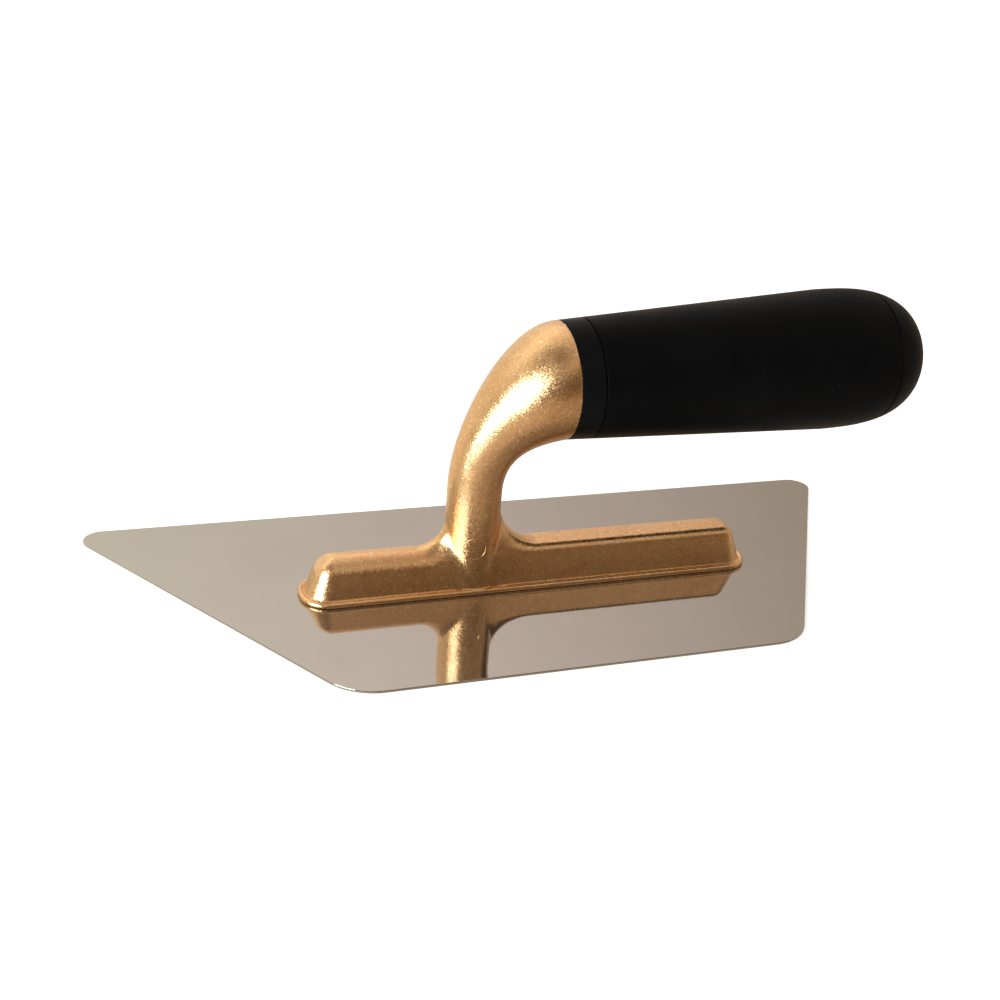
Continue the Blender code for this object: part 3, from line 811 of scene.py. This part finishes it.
def add_turned(name, profile, material, ridge_span=None):
    """A closed profile of (distance, radius) turned round the grip's axis."""
    angles = turn_angles()
    up, side, along = np.array(ACROSS), np.array((0.0, 1.0, 0.0)), np.array(ALONG)
    spokes = np.cos(angles)[:, None] * up + np.sin(angles)[:, None] * side
    ridge = parting_ridge(angles)
    rings = []
    for distance, radius in profile:
        in_span = ridge_span and ridge_span[0] < distance < ridge_span[1]
        raised = in_span and radius > grip_radius(distance) - HAIR
        size = np.broadcast_to(radius + (ridge if raised else 0), angles.size)
        rings.append(np.array(HEAD_FACE) + along * distance + spokes * size[:, None])
    count, last = angles.size, len(profile)
    faces = [
        quad(i, (i + 1) % last, j, count)
        for i in range(last)
        for j in range(count)
        if profile[i][1] > HAIR or profile[(i + 1) % last][1] > HAIR
    ]
    return add_piece(name, np.concatenate(rings), faces, material, math.radians(50))


def add_core(black):
    """The rigid core: collar, seat of the sleeve, rear chamber, web and the tang's bore."""
    rear = GRIP_LENGTH - CAP_LENGTH - GRIP_SEAM
    web = rear + GRIP_SEAM - SPIGOT_LENGTH - REAR_CHAMBER_LENGTH
    along = np.linspace(COLLAR_LENGTH, rear, INNER_STEPS)
    seat = [(s, grip_radius(s) - SLEEVE_WALL - GRIP_SEAM) for s in along]
    profile = skin_profile(COLLAR_FACE_GAP, COLLAR_LENGTH, COLLAR_STEPS) + seat
    profile += [(rear, REAR_BORE_RADIUS), (web, REAR_BORE_RADIUS), (web, SCREW_HOLE_RADIUS)]
    front = web - WEB_THICKNESS
    profile += [(front, SCREW_HOLE_RADIUS), (front, TANG_BORE_RADIUS)]
    profile += [(COLLAR_FACE_GAP, TANG_BORE_RADIUS)]
    core = add_turned("rigid_core", profile, black)
    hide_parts("grip_core")


def add_sleeve(black):
    start, end = COLLAR_LENGTH + GRIP_SEAM, GRIP_LENGTH - CAP_LENGTH - GRIP_SEAM
    outside = skin_profile(start, end, SLEEVE_STEPS)
    inside = [(s, grip_radius(s) - SLEEVE_WALL) for s in np.linspace(end, start, INNER_STEPS)]
    ridge_span = (start + PARTING_END_GAP, end - PARTING_END_GAP)
    sleeve = add_turned("soft_sleeve", outside + inside, black, ridge_span)
    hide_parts("grip_sleeve")


def dome_profile(start):
    """The dome from a distance to its pole, in even turns so that the pole stays fine."""
    shoulder = GRIP_LENGTH - DOME_LENGTH
    first = math.asin(((start - shoulder) / DOME_LENGTH) ** (DOME_POWER / 2))
    share = 2 / DOME_POWER
    profile = []
    for angle in np.linspace(first, math.pi / 2, DOME_STEPS):
        along = shoulder + DOME_LENGTH * math.sin(angle) ** share
        profile.append((along, GRIP_GREATEST_RADIUS * max(math.cos(angle), 0) ** share))
    profile[-1] = (GRIP_LENGTH, 0.0)
    return profile


def add_cap(black):
    face = GRIP_LENGTH - CAP_LENGTH
    profile = rolled_lip(face, 1) + dome_profile(face + LIP_RADIUS)
    spigot = REAR_BORE_RADIUS - GRIP_SEAM
    profile += [
        (face + CAP_WALL, 0.0),
        (face + CAP_WALL, spigot - CAP_WALL),
        (face - SPIGOT_LENGTH, spigot - CAP_WALL),
        (face - SPIGOT_LENGTH, spigot),
        (face, spigot),
    ]
    cap = add_turned("end_cap", profile, black)
    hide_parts("grip_end_cap")


def add_grip():
    core, sleeve, cap = (0.0036, 0.0036, 0.0038), (0.0022, 0.0022, 0.0024), (0.0028, 0.0028, 0.0030)
    add_core(black_moulding("satin_black_core", core, 0.40, 2600.0, 0.00006))
    add_sleeve(black_moulding("soft_black_sleeve", sleeve, 0.46, 3200.0, 0.00008))
    add_cap(black_moulding("satin_black_cap", cap, 0.43, 2600.0, 0.00006))


def dress_fasteners():
    """The CAD's own studs, screw and washer keep their shape and get their metal."""
    metals = {
        "blade_stud": plated_steel("bright_stud_steel", (0.60, 0.61, 0.63), 0.30),
        "tang_screw": plated_steel("zinc_plated_screw", (0.66, 0.65, 0.60), 0.28),
        "tang_washer": plated_steel("zinc_plated_washer", (0.64, 0.64, 0.62), 0.32),
    }
    for name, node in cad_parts.items():
        for prefix, metal in metals.items():
            if name.startswith(prefix):
                node.data.materials.clear()
                node.data.materials.append(metal)


# ---------------------------------------------------------------- studio


def add_floor():
    mesh = bpy.data.meshes.new("floor")
    builder = bmesh.new()
    bmesh.ops.create_circle(builder, cap_ends=True, segments=FLOOR_STEPS, radius=FLOOR_RADIUS)
    builder.to_mesh(mesh)
    builder.free()
    mesh.materials.append(pale_floor())
    floor = bpy.data.objects.new("floor", mesh)
    floor.location.z = BLADE_LOW.z - FLOOR_DROP
    floor.visible_glossy = False
    bpy.context.scene.collection.objects.link(floor)


def direction_of(azimuth, elevation):
    """A unit vector from the object, from angles in degrees."""
    azimuth, elevation = math.radians(azimuth), math.radians(elevation)
    flat = math.cos(elevation)
    return Vector((flat * math.cos(azimuth), flat * math.sin(azimuth), math.sin(elevation)))


def add_world():
    """A pale room: beige walls, a bright ceiling, and a dark side and corner at fixed
    directions round the object. Straight to the camera it is plain white."""
    world = bpy.data.worlds.new("studio")
    world.use_nodes = True
    bpy.context.scene.world = world
    nodes = Nodes(world.node_tree)
    direction = nodes.add("ShaderNodeTexCoord").outputs["Generated"]
    split = nodes.add("ShaderNodeSeparateXYZ", {"Vector": direction})
    height = split.outputs["Z"]
    tone = nodes.ramp(nodes.spread(height, -1.0, 1.0), ROOM_BY_HEIGHT)
    sideways = nodes.spread(nodes.dot(direction, direction_of(*TINT_TOWARDS)), -0.30, 0.30)
    tone = nodes.vector("MULTIPLY", tone, nodes.ramp(sideways, TINT))
    towards_dark = nodes.dot(direction, direction_of(*DARK_SIDE_FROM))
    lit = nodes.spread(towards_dark, -0.10, 0.45, 1.0, 0.0)
    off_band = nodes.maths("ABSOLUTE", nodes.maths("SUBTRACT", height, DARK_BAND_HEIGHT))
    lit = nodes.maths("MAXIMUM", lit, nodes.spread(off_band, 0.22, 0.45, 0.0, 0.8))
    towards_corner = nodes.dot(direction, direction_of(*DARK_CORNER_FROM))
    corner = nodes.spread(towards_corner, 0.80, 0.95, 1.0, 0.15)
    colour = nodes.blend(nodes.maths("MULTIPLY", lit, corner), DARK_SIDE, tone)
    seen = nodes.add("ShaderNodeLightPath").outputs["Is Camera Ray"]
    colour = nodes.blend(seen, colour, (1, 1, 1, 1))
    nodes.tree.links.new(colour, nodes.tree.nodes["Background"].inputs["Color"])


def add_softbox():
    """The one lamp, which faces the object."""
    light = bpy.data.lights.new("left_softbox", "AREA")
    width, height = SOFTBOX_SIZE
    light.shape = "RECTANGLE"
    light.size, light.size_y = width, height
    light.energy = SOFTBOX_RADIANCE * math.pi * width * height
    light.color = SOFTBOX_COLOUR
    lamp = bpy.data.objects.new("left_softbox", light)
    direction = direction_of(*SOFTBOX_FROM)
    lamp.location = direction * SOFTBOX_DISTANCE
    lamp.rotation_euler = (-direction).to_track_quat("-Z", "Y").to_euler()
    bpy.context.scene.collection.objects.link(lamp)


def add_studio():
    add_floor()
    add_world()
    add_softbox()
    scene = bpy.context.scene
    scene.view_settings.view_transform = "Standard"
    scene.view_settings.look = "None"


def add_camera():
    camera = bpy.data.cameras.new("camera")
    camera.lens = CAMERA_LENS
    camera.sensor_width = CAMERA_SENSOR
    camera.clip_start, camera.clip_end = CAMERA_CLIP
    stand = bpy.data.objects.new("camera", camera)
    bpy.context.scene.collection.objects.link(stand)
    aim = (CAMERA_TARGET - CAMERA_PLACE).to_track_quat("-Z", "Y").to_matrix().to_4x4()
    lean = Matrix.Rotation(CAMERA_LEAN, 4, "Z")
    stand.matrix_world = Matrix.Translation(CAMERA_PLACE) @ aim @ lean
    bpy.context.scene.camera = stand


add_camera()
add_studio()
add_blade()
add_casting()
add_grip()
dress_fasteners()
